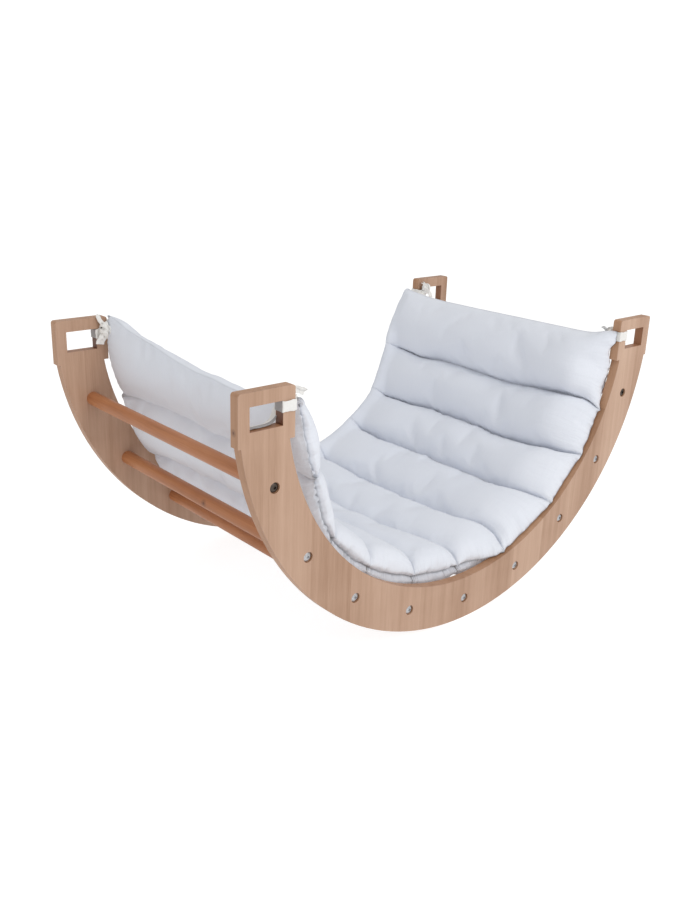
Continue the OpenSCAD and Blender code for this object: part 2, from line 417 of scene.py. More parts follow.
for nm in ("side_panel_front", "side_panel_back"):
    finish_node(nm, M_PANEL, 0.0016)
for k in range(1, 10):
    finish_node(f"rung_{k}", M_RUNG)
for nm in ("rung_bolts_front", "rung_bolts_back"):
    finish_node(nm, M_STEEL)
for nm in ("rung_inserts_front", "rung_inserts_back"):
    finish_node(nm, M_BRASS)

# ---------------------------------------------------------------- the cushion
SEAMS = np.array([-88.0, -66.4, -49.8, -33.2, -16.6, 0.0, 16.6, 33.2, 49.8, 66.4, 88.0])
NU, NS, NC = 16, 50, 8            # quads over one roll, along its straight part, and over each end
KNOT_PHI = np.array([-92, -88, -78, -66.4, -57, -49.8, -33.2, -16.6, 0, 16.6, 33.2, 49.8, 58, 66.4, 77, 88, 92.0])
# radius of the plane where the two layers are sewn together, at the front edge, the middle and the back edge
KNOT_R = np.array([
    [.376, .377, .367, .373, .386, .402, .405, .405, .404, .407, .409, .409, .408, .406, .402, .399, .399],
    [.391, .389, .386, .384, .390, .398, .404, .404, .404, .404, .403, .400, .391, .379, .374, .382, .384],
    [.399, .399, .398, .397, .399, .403, .406, .406, .406, .406, .404, .396, .378, .356, .352, .360, .362],
])
# half thickness of a roll on the child's side: at mid length and near its two ends
TOP_PHI = np.array([-88, -77, -66.4, -58, -49.8, -41, -33.2, 0, 33.2, 49.8, 58, 66.4, 77, 88.0])
TOP_MID = np.array([.040, .040, .040, .039, .039, .039, .038, .038, .039, .040, .041, .041, .041, .041])
TOP_NEAR = np.array([.020, .029, .036, .027, .029, .034, .040, .046, .050, .053, .055, .056, .056, .048])
TOP_FAR = np.array([.036, .038, .040, .041, .042, .043, .045, .056, .058, .054, .050, .044, .042, .042])
BOT_PHI = np.array([-88, -77, -66.4, -49.8, -33.2, 0, 33.2, 49.8, 66.4, 77, 88.0])
BOT_H = np.array([.010, .011, .018, .030, .034, .034, .034, .030, .024, .020, .018])
# where the far ends of the right-hand rolls fill out to one level
FLAT_PHI = np.array([-20, 0, 16, 30, 47, 55, 64, 70, 78, 84, 90.0])
FLAT_R = np.array([.354, .343, .334, .331, .331, .320, .308, .302, .310, .322, .345])


def table_r(phi, y):
    """Smooth radius at an angle in degrees and a y in metres."""
    fine = np.arange(-100, 100.5, 0.5)
    ker = np.exp(-0.5 * (np.arange(-16, 17) / 6.0) ** 2)
    ker /= ker.sum()
    vals = []
    for row in KNOT_R:
        r = np.interp(fine, KNOT_PHI, row)
        vals.append(np.interp(phi, fine, np.convolve(np.pad(r, 16, mode="edge"), ker, "valid")))
    t = np.clip((y + 0.264) / 0.528, 0, 1)
    l0, l1, l2 = 2 * (t - 0.5) * (t - 1), -4 * t * (t - 1), 2 * t * (t - 0.5)
    return l0 * vals[0] + l1 * vals[1] + l2 * vals[2]


N_WOB = [sines(11 + k, 6, 0.10, 0.45, 1) for k in range(11)]
N_EDGE = sines(77, 14, 0.012, 0.05, 1)
N_EDGE2 = sines(78, 10, 0.02, 0.09, 1)
N_FILL = sines(5, 22, 0.07, 0.24, 2)


def wave(f, x):
    return f(np.asarray(x, float))


# how each seam wanders from its own angle, in degrees, along the pad's width
DRIFT_Y = np.array([-.284, -.25, -.215, -.18, -.145, -.11, -.075, -.04, 0, .03, .065, .1, .135, .17, .205, .24, .264])
DRIFT = {
    4: np.array([0, 0, -.6, -1, -1.3, -1.5, -1.6, -1.6, -1.5, -1.5, -1.4, -1.3, -1.2, -1.2, -1.2, -.8, -.6]),
    5: np.array([0, 0, -1.8, -2.6, -3.0, -3.4, -3.6, -3.8, -3.6, -3.6, -3.4, -3.0, -2.6, -2.6, -2.8, -2.0, -1.6]),
    6: np.array([-.9, .8, -.5, -1.3, -1.2, -.8, -.4, -.6, -.6, -1.3, -1.5, -1.1, -1.3, -2.0, -2.0, -1.0, -.9]),
    7: np.array([3.2, 2.2, 1.1, .4, .05, .5, .55, .6, 1.2, 1.9, .95, .55, .3, -.2, -.45, -.2, -.2]),
    8: np.array([3.0, 1.2, .7, .15, 0, -.25, -.2, .4, .7, .35, .22, .4, .1, -.44, -.85, -1.2, -1.2]),
    9: np.array([-.3, 1.7, 1.3, 1.1, .9, .4, .24, .25, .25, .45, .45, .1, -.2, .1, .75, .8, .8]),
}


def seam_phi(k, y):
    amp = 0.0 if k in (0, 10) else 0.30
    y = np.asarray(y, float)
    if k == 0:       # the free top edges sag between the ties
        return np.interp(y, [-.264, -.2, -.15, -.1, -.05, 0, .047, .072, .127, .2, .236, .264],
                         [-87.4, -84.8, -83.9, -83.5, -84.4, -84.7, -85.7, -86.4, -88.1, -89.7, -91.2, -92.0])
    if k == 10:
        return np.interp(y, [-.284, -.264, -.252, -.233, -.2, -.1, 0, .058, .104, .153, .2, .24, .264],
                         [88.6, 88.7, 88.1, 87.1, 86.95, 87.05, 87.15, 87.2, 87.3, 87.4, 87.8, 88.6, 89.2])
    if k in DRIFT:
        return SEAMS[k] + np.interp(y, DRIFT_Y, DRIFT[k]) + amp * N_WOB[k](y)
    lean = {1: -1.2 - 2.6 * smooth(-0.2, 0.2, y) + 1.7 * smooth(0.2, 0.264, -y), 2: 1.4 * smooth(0.15, 0.264, -y) - 0.5}.get(k, 0.0)
    return SEAMS[k] + lean + amp * N_WOB[k](y)


def lap(phi):
    """Where the front edge of the cloth lies over the front panel's inner edge."""
    return np.interp(phi, [3, 8, 13, 58, 64, 66.5, 70, 74, 77, 79.5, 81.7, 83.1, 84.8, 92],
                     [0, .5, 1, 1, .80, .78, .58, .52, .78, .84, .62, .66, 1.1, 1.1])


def down(phi):
    """Where the front edge of the pad comes down to the front panel's inner edge."""
    return smooth(3, 13, phi) * (1 - smooth(79.3, 81.3, phi))


def cushion_shape():
    """The two sewn layers of the pad: points, cloth coordinates and the distances from the seams."""
    ni, nj = 10 * NU, NS + 2 * NC
    a = np.pi * np.arange(NU + 1) / NU
    i = np.arange(ni + 1)
    ch = np.minimum(i // NU, 9)
    ai = a[i - ch * NU]
    u = -np.cos(ai)
    s0, s1 = SEAMS[ch], SEAMS[ch + 1]
    phi0 = 0.5 * (s0 + s1) + 0.5 * u * (s1 - s0)
    j = np.arange(nj + 1)
    near, far = j < NC, j > NC + NS
    psi = np.full(nj + 1, math.pi / 2)
    psi[near] = (j[near] / NC) ** 1.45 * math.pi / 2
    psi[far] = ((nj - j[far]) / NC) ** 1.45 * math.pi / 2
    lin = np.clip((j - NC) / NS, 0, 1)
    A, B = np.meshgrid(i, j, indexing="ij")
    PH0, AI, U, CH = phi0[A], ai[A], u[A], ch[A]
    PSI, LIN, NEAR, FAR = psi[B], lin[B], near[B], far[B]
    lapped = lap(PH0)
    full = np.sin(AI)
    # the straight part's ends, and how far the cloth reaches past them
    right = smooth(-25, 5, PH0)
    y_near, y_far = -(0.236 - 0.030 * lapped), 0.236 + 0.011 * right
    reach_n = -(0.2668 + 0.0172 * lapped - full * (0.002 + 0.0050 * lapped) + 0.0014 * wave(N_EDGE, PH0 * 0.0071))
    reach_f = 0.2672 - full * 0.002 + 0.0012 * wave(N_EDGE, PH0 * 0.0071 + 3.7)
    out = []
    for lay in (0, 1):
        c, s = np.cos(PSI), np.sin(PSI)
        rn = reach_n if lay == 0 else np.where(c > 0.9999, reach_n, np.maximum(reach_n, -0.2664))
        Y = y_near + (y_far - y_near) * LIN
        Y = np.where(NEAR, y_near + (rn - y_near) * c, Y)
        Y = np.where(FAR, y_far + (reach_f - y_far) * c, Y)
        # the sewn edge itself is drawn in a little between the two layers
        edge = np.exp(-((PSI / 0.085) ** 2)) * (NEAR | FAR)
        Y = Y - np.sign(Y) * edge * 0.0090 * (1 - 0.9 * lapped * NEAR)
        P0 = np.zeros_like(Y)
        P1 = np.zeros_like(Y)
        for k in range(10):
            m = CH == k
            P0[m], P1[m] = seam_phi(k, Y[m]), seam_phi(k + 1, Y[m])
        PHI = 0.5 * (P0 + P1) + 0.5 * U * (P1 - P0)
        RM = table_r(PHI, Y)
        # the front edge comes down onto the panel
        drop = smooth(0.225, 0.262, -Y) * down(PHI)
        RM = RM + (0.4126 - RM) * drop
        RM = np.where((PHI > 80.3) & (Y < -0.258), np.minimum(RM, 0.3984 / np.sin(np.radians(np.clip(PHI, 60, 95)))), RM)
        RM = RM + edge * 0.0012 * wave(N_EDGE2, PHI * 0.0071 + np.where(Y < 0, 0, 9.1)) * (1 - drop)
        ends_n, ends_f = smooth(0.08, 0.215, -Y), smooth(0.08, 0.215, Y)
        mid = np.interp(PHI, TOP_PHI, TOP_MID)
        top = mid + (np.interp(PHI, TOP_PHI, TOP_NEAR) - mid) * ends_n + (np.interp(PHI, TOP_PHI, TOP_FAR) - mid) * ends_f
        bot = np.interp(PHI, BOT_PHI, BOT_H)
        power = 0.63 - 0.07 * np.maximum(ends_n, ends_f) * smooth(-20, 10, PHI)
        f = np.maximum(full, 0) ** power
        swell = 1.0 + 0.034 * N_FILL(PHI * 0.007, Y)
        # the lower channels are only lightly sewn down
        loose = 0.14 * smooth(-70, -50, PHI) * (1 - smooth(36, 46, PHI)) * (A > 0) * (A < ni)
        f = f * (1 - loose) + loose
        inner = (s > 1e-3) & (A > 0) & (A < ni)
        if lay == 0:
            R = RM - top * f * s * swell - 0.0009 * inner
            # the seams stop short of the far edge, so the filled ends run together there
            flat = np.interp(PHI, FLAT_PHI, FLAT_R) + 0.004
            level = RM - (RM - flat) * s
            R = R + (level - R) * smooth(0.226, 0.246, Y) * smooth(-22, 4, PHI) * inner
        else:
            # under a seam the two rolls fill the corner next to the panel
            corner = 0.012 * smooth(0.232, 0.258, np.abs(Y)) * (1 - full) * s ** 0.5 * (CH > 0) * (CH < 9)
            corner = corner * (1 - np.exp(-(((PHI + 66) / 5.0) ** 2)) * (Y < 0))
            R = RM + bot * np.maximum(full, 0) ** 0.86 * s * swell + 0.0009 * inner + corner
        pr = np.radians(PHI)
        out.append(np.stack([R * np.sin(pr), Y, CZ - R * np.cos(pr)], -1))
    arc = 0.058
    UV = np.stack([(CH + AI / math.pi) * 0.125, np.where(NEAR, -0.232 - 0.05 * np.cos(PSI), np.where(FAR, 0.236 + 0.05 * np.cos(PSI), -0.232 + 0.468 * LIN))], -1)
    dseam = np.minimum(AI, math.pi - AI) / math.pi * 0.14
    dseam = np.where(CH == 0, (math.pi - AI) / math.pi * 0.14, np.where(CH == 9, AI / math.pi * 0.14, dseam))
    dend = np.where(NEAR | FAR, np.sin(PSI) * 0.055, 0.055 + np.minimum(LIN, 1 - LIN) * 0.468)
    pin = ((A % NU) == 0) | (B == 0) | (B == nj)
    pin = pin & ~((B < nj) & (B > 0) & (LIN > 0.965) & (PH0 > -10) & (A > 0) & (A < ni))
    drim = np.minimum(dend, np.where(CH == 0, AI / math.pi * 0.14, np.where(CH == 9, (math.pi - AI) / math.pi * 0.14, 1.0)))
    return out, UV, pin, dseam, dend, drim, PH0


def build_cushion():
    P, UV, pin, dseam, dend, drim, ph = cushion_shape()
    ni, nj = P[0].shape[0] - 1, P[0].shape[1] - 1
    idx = -np.ones((2, ni + 1, nj + 1), int)
    verts, pins, meta, att = [], [], [], []
    for lay in (0, 1):
        for i in range(ni + 1):
            for j in range(nj + 1):
                border = i in (0, ni) or j in (0, nj)
                if lay == 1 and border:
                    idx[1, i, j] = idx[0, i, j]
                    continue
                idx[lay, i, j] = len(verts)
                verts.append(P[lay][i, j])
                pins.append(float(pin[i, j]))
                meta.append((lay, i, j))
                att.append((dseam[i, j], dend[i, j], ph[i, j] * 0.0071, 0.5 if border else float(lay), drim[i, j]))
    faces, fuv = [], []
    for lay in (0, 1):
        for i in range(ni):
            for j in range(nj):
                q = [(i, j), (i + 1, j), (i + 1, j + 1), (i, j + 1)]
                if lay == 1:
                    q = q[::-1]
                faces.append([idx[lay, a, b] for a, b in q])
                fuv += [UV[a, b] for a, b in q]
    ob = new_object("cushion", verts, faces, fuv)
    for n, name in enumerate(("d_seam", "d_end", "d_arc", "layer", "d_rim")):
        at = ob.data.attributes.new(name, "FLOAT", "POINT")
        at.data.foreach_set("value", np.array([v[n] for v in att], np.float32))
    me = ob.data
    border = {int(idx[0, i, j]) for i in range(ni + 1) for j in range(nj + 1) if i in (0, ni) or j in (0, nj)}
    cr = me.attributes.new("crease_edge", "FLOAT", "EDGE")
    ev = np.empty(len(me.edges) * 2, np.int32)
    me.edges.foreach_get("vertices", ev)
    ev = ev.reshape(-1, 2)
    cr.data.foreach_set("value", np.array([0.9 if (a in border and b in border) else 0.0 for a, b in ev.tolist()], np.float32))
    return ob, np.array(verts), np.array(pins), np.array(meta), np.array(att)


def simulate(ob, pins, slack, frames=20):
    g = ob.vertex_groups.new(name="pin")
    for i in np.nonzero(pins > 0)[0]:
        g.add([int(i)], float(pins[i]), "REPLACE")
    g2 = ob.vertex_groups.new(name="slack")
    for i, w in enumerate(slack):
        g2.add([i], float(w), "REPLACE")
    m = ob.modifiers.new("cloth", "CLOTH")
    s = m.settings
    s.quality = 6
    s.mass = 0.25
    s.tension_stiffness = 22
    s.compression_stiffness = 12
    s.shear_stiffness = 8
    s.bending_stiffness = 0.8
    s.tension_damping = 8
    s.compression_damping = 8
    s.shear_damping = 8
    s.bending_damping = 0.6
    s.air_damping = 1.5
    s.vertex_group_mass = "pin"
    s.vertex_group_shrink = "slack"
    s.use_pressure = True
    s.uniform_pressure_force = 4.0
    s.shrink_min = -0.014
    s.shrink_max = -0.055
    s.effector_weights.gravity = 0.0
    m.collision_settings.use_collision = False
    m.collision_settings.use_self_collision = False
    m.point_cache.frame_start = 1
    m.point_cache.frame_end = frames + 5
    scene.frame_start, scene.frame_end = 1, frames + 5
    for f in range(1, frames + 1):
        scene.frame_set(f)
    dg = bpy.context.evaluated_depsgraph_get()
    e = ob.evaluated_get(dg)
    co = np.empty(len(e.data.vertices) * 3, np.float32)
    e.data.vertices.foreach_get("co", co)
    ob.modifiers.remove(m)
    ob.vertex_groups.clear()
    scene.frame_set(1)
    return co.reshape(-1, 3).astype(float)


def keep_clear(p, lo_phi=None, hi_phi=None):
    """Moves points out of the panels and the rungs, and keeps each roll on its own side of its seams."""
    x, y, z = p[:, 0].copy(), p[:, 1].copy(), p[:, 2].copy()
    r = np.hypot(x, CZ - z)
    phi = np.arctan2(x, CZ - z)
    if lo_phi is not None:
        phi = np.clip(phi, lo_phi, hi_phi)
    lim = FACE - 0.0012
    bad = (np.abs(y) > lim) & (r > SEAT_R - 0.0014)
    back = bad & (r > SEAT_R + 0.004)
    y = np.where(back, np.sign(y) * lim, y)
    r = np.where(bad & ~back, SEAT_R - 0.0014, r)
    x, z = r * np.sin(phi), CZ - r * np.cos(phi)
    for rx, rz, rr in RUNGS:
        dx, dz = x - rx, z - rz
        d = np.hypot(dx, dz)
        need = rr + 0.0012
        k = np.where(d < need, need / np.maximum(d, 1e-6), 1.0)
        x, z = rx + dx * k, rz + dz * k
    # beside the slotted heads' inner posts the pad stays off the posts' faces
    post = (np.abs(y) > lim) & (z > 0.428) & (np.abs(x) > 0.3984)
    x = np.where(post, np.sign(x) * 0.3984, x)
    y = np.clip(y, -0.286, 0.286)
    return np.stack([x, y, z], 1)


def apply_subdivision(ob, levels=1):
    m = ob.modifiers.new("sub", "SUBSURF")
    m.levels = m.render_levels = levels
    m.use_limit_surface = False
    dg = bpy.context.evaluated_depsgraph_get()
    me = bpy.data.meshes.new_from_object(ob.evaluated_get(dg), preserve_all_data_layers=True, depsgraph=dg)
    old = ob.data
    ob.modifiers.clear()
    ob.data = me
    bpy.data.meshes.remove(old)


def read(me, name):
    v = np.empty(len(me.vertices), np.float32)
    me.attributes[name].data.foreach_get("value", v)
    return v.astype(float)


PLEAT = [sines(301, 12, 0.011, 0.022, 1), sines(302, 12, 0.010, 0.018, 1)]
PUCKER = [sines(311, 12, 0.016, 0.034, 1), sines(312, 12, 0.016, 0.034, 1)]


def gather(ob):
    """Small pleats along the sewn edge, and puckers along the channel seams."""
    me = ob.data
    me.update()
    co = np.empty(len(me.vertices) * 3, np.float32)
    me.vertices.foreach_get("co", co)
    co = co.reshape(-1, 3).astype(float)
    no = np.empty(len(me.vertices) * 3, np.float32)
    me.vertices.foreach_get("normal", no)
    no = no.reshape(-1, 3).astype(float)
    ds, de, arc, lay = (read(me, n) for n in ("d_seam", "d_end", "d_arc", "layer"))
    lay = lay > 0.5
    y = co[:, 1]
    pl = np.where(lay, PLEAT[1](arc + np.sign(y) * 0.7), PLEAT[0](arc + np.sign(y) * 0.4))
    row = np.round(arc / 0.0071 / 16.6)
    pk = np.where(lay, PUCKER[1](y + row * 1.7), PUCKER[0](y + row * 2.3))
    phi = arc / 0.0071
    much = 0.0017 + (0.0008 + 0.0012 * lay) * (1 - smooth(-50, -38, phi)) * (y < 0)
    d = much * pl * np.exp(-de / (0.018 + 0.010 * lay)) * (1 - np.exp(-de / 0.0025)) * (1 - np.exp(-ds / 0.012))
    d += 0.0011 * pk * np.exp(-ds / 0.013) * (1 - np.exp(-ds / 0.003)) * (1 - np.exp(-de / 0.03))
    return co + no * d[:, None]


def make_cushion():
    ob, start, pins, meta, att = build_cushion()
    y0 = start[:, 1]
    slack = np.clip(smooth(0.17, 0.255, np.abs(y0)) * 0.9 + 0.25 * np.exp(-att[:, 0] / 0.02), 0, 1)
    end = simulate(ob, pins, slack)
    d = end - start
    n = np.linalg.norm(d, axis=1)
    print("CLOTH moved mean %.4f max %.4f" % (n.mean(), n.max()))
    cap = 0.009
    d *= (cap * np.tanh(n / cap) / np.maximum(n, 1e-9))[:, None]
    end = start + d
    ch = np.clip(meta[:, 1] // NU, 0, 9)
    y = end[:, 1]
    lo = np.zeros(len(end))
    hi = np.zeros(len(end))
    for c in range(10):
        m = ch == c
        lo[m] = np.radians(seam_phi(c, y[m])) + 0.0015 - (0.3 if c == 0 else 0)
        hi[m] = np.radians(seam_phi(c + 1, y[m])) - 0.0015 + (0.3 if c == 9 else 0)
    on_seam = (meta[:, 1] % NU == 0) & (meta[:, 1] > 0) & (meta[:, 1] < 10 * NU)
    for c in range(1, 10):
        m = on_seam & (meta[:, 1] // NU == c)
        lo[m] = hi[m] = np.radians(seam_phi(c, y[m]))
    hi[meta[:, 1] == 10 * NU] += 0.3
    end = keep_clear(end, lo, hi)
    ob.data.vertices.foreach_set("co", end.astype(np.float32).ravel())
    ob.data.update()
    apply_subdivision(ob)
    co = keep_clear(gather(ob))
    ob.data.vertices.foreach_set("co", co.astype(np.float32).ravel())
    ob.data.update()
    shade_smooth(ob)
    ob.data.materials.clear()
    ob.data.materials.append(M_COVER)
    return ob


cushion = make_cushion()
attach(cushion, "root")
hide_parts("cushion_cover", *[f"cushion_fill_{k}" for k in range(1, 11)])


# ---------------------------------------------------------------- the four ties
POST_X = 0.401                    # inner face of a head's inner post; the panel's inner face is at |y| = FACE


def spline(pts, n, closed=False):
    """n points, evenly spaced, on a smooth curve through pts."""
    pts = np.asarray(pts, float)
    k = len(pts)
    out, seg = [], range(k if closed else k - 1)
    for i in seg:
        if closed:
            p0, p1, p2, p3 = (pts[(i + o) % k] for o in (-1, 0, 1, 2))
        else:
            p0, p1, p2, p3 = pts[max(i - 1, 0)], pts[i], pts[i + 1], pts[min(i + 2, k - 1)]
        for t in np.linspace(0, 1, 16, endpoint=False):
            out.append(0.5 * (2 * p1 + (p2 - p0) * t + (2 * p0 - 5 * p1 + 4 * p2 - p3) * t * t
                              + (3 * p1 - p0 - 3 * p2 + p3) * t ** 3))
    out.append(out[0] if closed else pts[-1])
    out = np.array(out)
    d = np.concatenate([[0], np.cumsum(np.linalg.norm(np.diff(out[:, :3], axis=0), axis=1))])
    s = np.linspace(0, d[-1], n + 1 if closed else n)
    res = np.stack([np.interp(s, d, out[:, c]) for c in range(out.shape[1])], 1)
    return (res[:-1] if closed else res), d[-1]


class Tape:
    """Collects strips of tape, each a thin closed ribbon, in the coordinates of one corner."""

    def __init__(self, sx, sy):
        self.sx, self.sy = sx, sy
        self.v, self.f, self.uv, self.length = [], [], [], 0.0

    def strip(self, pts, width, side=(0, 0, 1), th=0.0011, crumple=0.0006, cup=0.0, fold=0.0, seed=0, closed=False, clear=True, flare=0.0):
        """pts rows are (a, b, c): outward from the post's inner face, outward from the panel's inner face, height.
        A row may go on with the side's direction there."""
        pts = np.asarray(pts, float)
        if pts.shape[1] == 3:
            pts = np.hstack([pts, np.tile(np.asarray(side, float), (len(pts), 1))])
        n = int(max(8, np.ceil(spline(pts, 4, closed)[1] / 0.0011)))
        c, length = spline(pts, n, closed)
        self.length += length
        P, S = c[:, :3], c[:, 3:6]
        T = np.roll(P, -1, 0) - np.roll(P, 1, 0) if closed else np.gradient(P, axis=0)
        T /= np.linalg.norm(T, axis=1)[:, None]
        S = S - (S * T).sum(1)[:, None] * T
        S /= np.linalg.norm(S, axis=1)[:, None]
        N = np.cross(T, S)
        m = 12
        w = np.linspace(-0.5, 0.5, m + 1)
        arc = np.arange(n) * length / n
        na, nb = sines(900 + seed, 10, 0.006, 0.025, 2), sines(950 + seed, 6, 0.010, 0.05, 1)
        if closed:
            q = 2 * np.pi * np.arange(n) / n
            along = np.cos(q) * length / 6.28
        else:
            along = arc
        wide = width * (1 + 0.05 * nb(along))
        if flare:
            wide = wide * (1 + flare * (arc / length) ** 2)
        W = wide[:, None] * w[None, :]
        h = crumple * na(np.repeat(along[:, None], m + 1, 1), W)
        h = h + cup * (4 * w[None, :] ** 2 - 0.33)
        h = h + fold * np.sin(2 * np.pi * 1.5 * w[None, :] + 0.8 * nb(along * 0.6)[:, None])
        slope = np.abs(w * 2) ** 8
        t2 = 0.5 * th * (1 - 0.55 * slope)[None, :, None]
        M = P[:, None, :] + S[:, None, :] * W[..., None] + N[:, None, :] * h[..., None]
        up, dn = M + N[:, None, :] * t2, M - N[:, None, :] * t2
        base = len(self.v)
        for g3 in (up, dn):
            for row in g3:
                for a, b, z in row:
                    if clear and a > -0.0008:
                        b = min(b, -0.0008)
                    self.v.append((self.sx * (POST_X + a), self.sy * (FACE + b), z))
        row = m + 1
        last = n if closed else n - 1

        def vid(layer, i, j):
            return base + layer * n * row + (i % n) * row + j

        def uvs(i, j):
            return (w[j] * width, i * length / n)

        for i in range(last):
            for j in range(m):
                self.f.append([vid(0, i, j), vid(0, i + 1, j), vid(0, i + 1, j + 1), vid(0, i, j + 1)])
                self.uv += [uvs(i, j), uvs(i + 1, j), uvs(i + 1, j + 1), uvs(i, j + 1)]
                self.f.append([vid(1, i, j), vid(1, i, j + 1), vid(1, i + 1, j + 1), vid(1, i + 1, j)])
                self.uv += [uvs(i, j), uvs(i, j + 1), uvs(i + 1, j + 1), uvs(i + 1, j)]
            for j, q in ((0, 0), (m, 1)):
                a, b = (0, 1) if q == 0 else (1, 0)
                self.f.append([vid(a, i, j), vid(b, i, j), vid(b, i + 1, j), vid(a, i + 1, j)])
                self.uv += [uvs(i, j), uvs(i, j), uvs(i + 1, j), uvs(i + 1, j)]
        if not closed:
            for i, q in ((0, 0), (n - 1, 1)):
                for j in range(m):
                    a, b = (0, 1) if q == 0 else (1, 0)
                    self.f.append([vid(a, i, j), vid(a, i, j + 1), vid(b, i, j + 1), vid(b, i, j)])
                    self.uv += [uvs(i, j), uvs(i, j + 1), uvs(i, j + 1), uvs(i, j)]

    def ring(self, mid, radii, tilt, width, seed, lean=0.0, grow=0.0):
        """One turn of tape round the knot; tilt turns the turn's axis in the plane of the panel."""
        t, l = math.radians(tilt), math.radians(lean)
        ax = np.array([math.cos(t) * math.cos(l), math.sin(l), math.sin(t) * math.cos(l)])
        u = np.cross(ax, (0, 1, 0))
        u /= np.linalg.norm(u)
        v = np.cross(ax, u)
        pts = []
        for q in np.linspace(0, 2 * np.pi, 12, endpoint=False):
            d = math.cos(q) * u + math.sin(q) * v
            r = 1 / math.sqrt(sum((d[i] / (radii[i] + grow)) ** 2 for i in range(3)))
            p = np.array(mid) + d * r
            pts.append((*p, *ax))
        self.strip(pts, width, crumple=0.0009, fold=0.0009, cup=-0.0012, seed=seed, closed=True)

    def finish(self, name, node):
        ob = new_object(name, self.v, self.f, self.uv)
        b = bmesh.new()
        b.from_mesh(ob.data)
        bmesh.ops.recalc_face_normals(b, faces=b.faces)
        b.to_mesh(ob.data)
        b.free()
        shade_smooth(ob)
        ob.data.materials.append(M_TAPE)
        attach(ob, "root")
        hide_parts(node)
        return ob


def post_loop(t, knot, c0=0.479, width=0.0168, c1=None, seed=0):
    """The flat loop round the post, from the knot and back to it."""
    c1 = c0 if c1 is None else c1
    ka, kb, kc = knot
    e, o, w = 0.0013, 0.0215 + 0.0013, 0.018 + 0.0013
    r = 0.0012
    path = [(ka, kb, kc), (ka * 0.5 + 0.009, -0.0040, (kc + c0) / 2), (0.0175, -e - 0.0006, c0), (o - r, -e, c0), (o, -e + r, c0),
            (o + 0.0002, w / 2, c0), (o, w - r, c0), (o - r, w, c0),
            (0.011, w + 0.0002, (c0 + c1) / 2), (-e + r, w, c1), (-e, w - r, c1), (-e - 0.0002, w / 2, c1), (-e - 0.0006, 0.0005, c1),
            ((ka - 0.006) / 2 - 0.002, kb * 0.55, c1 - 0.0005), (ka, kb, min(kc, c1 + 0.002))]
    return dict(pts=path, width=width, side=(0, 0, 1), th=0.001, crumple=0.00022, seed=seed, clear=False)


# front left: the band shows on the outer face, the knot is behind the post with one tail out towards the pad
t = Tape(-1, -1)
K = (-0.0010, -0.0120, 0.4800)
t.strip(**post_loop(None, K, 0.4793, 0.0166, seed=1))
for n, (tilt, lean, w, grow) in enumerate(((25, 0, .011, 0), (-50, 15, .010, .0007), (80, -10, .011, .0013), (-10, 20, .008, .0022))):
    t.ring(K, (.0070, .0060, .0085), tilt, w, 10 + n, lean, grow)
t.strip([(-.004, -.014, .482), (-.014, -.018, .4885), (-.027, -.021, .4885), (-.039, -.0235, .4855), (-.0475, -.0250, .4815), (-.0520, -.0245, .4790)], .0105,
        side=(0.15, 0.35, 1), crumple=.0009, cup=.0016, fold=.0006, seed=21, flare=0.15)
t.strip([(-.002, -.014, .476), (-.003, -.022, .472), (-.006, -.029, .464), (-.009, -.030, .452)], .012, side=(1, 0.3, 0),
        crumple=.0009, cup=.0014, seed=22, flare=0.1)
t.strip([(-.004, -.011, .479), (-.010, -.012, .478), (-.017, -.010, .4785), (-.0235, -.009, .4800)], .012, side=(0, 0.5, 1),
        crumple=.0009, fold=.0012, seed=23)
t.strip([(.004, -.0125, .475), (.0165, -.0075, .4655), (.0270, -.0010, .4570), (.0390, .0030, .4531), (.0550, .0042, .4527), (.0775, .0036, .4530)], .0130,
        side=(0, 1, 0.04), crumple=.0003, cup=.0003, seed=24, clear=False)
t.finish("tape_tie_front_left", "tie_front_left")

# back left: a bulky crumpled knot on the inner face, one end up to the top of the head, one down
t = Tape(-1, 1)
K = (0.0085, -0.0125, 0.4865)
t.strip(**post_loop(None, K, 0.4785, 0.0168, seed=2))
for n, (tilt, lean, w, grow) in enumerate(((20, 0, .013, 0), (-60, 10, .012, .0008), (70, -15, .013, .0016), (-5, 15, .010, .0026), (-35, -20, .009, .0032))):
    t.ring(K, (.0085, .0062, .0115), tilt, w, 30 + n, lean, grow)
t.strip([(.010, -.010, .493), (.0135, -.0085, .499), (.0165, -.0055, .5045), (.0180, -.0035, .5105), (.0165, -.0040, .5135)], .0085,
        side=(1, 0.1, -0.35), crumple=.0008, cup=.0012, seed=41)
t.strip([(.011, -.011, .480), (.0160, -.0120, .4735), (.0190, -.0095, .4670), (.0200, -.0085, .4610)], .0135,
        side=(1, 0.2, 0.3), crumple=.0010, cup=.0016, fold=.0005, seed=42, flare=0.2)
t.strip([(.007, -.015, .491), (.0045, -.0215, .4955), (.0038, -.0275, .4900), (.0045, -.0250, .4815), (.0060, -.0180, .4775), (.008, -.013, .481)], .0095,
        side=(1, 0.2, 0.1), crumple=.0008, cup=.0012, seed=43)
t.strip([(.004, -.011, .490), (.000, -.0095, .495), (-.0015, -.0075, .5000), (-.0025, -.0060, .5040)], .011, side=(1, 0.3, 0.3),
        crumple=.0008, fold=.0012, seed=44)
t.finish("tape_tie_back_left", "tie_back_left")

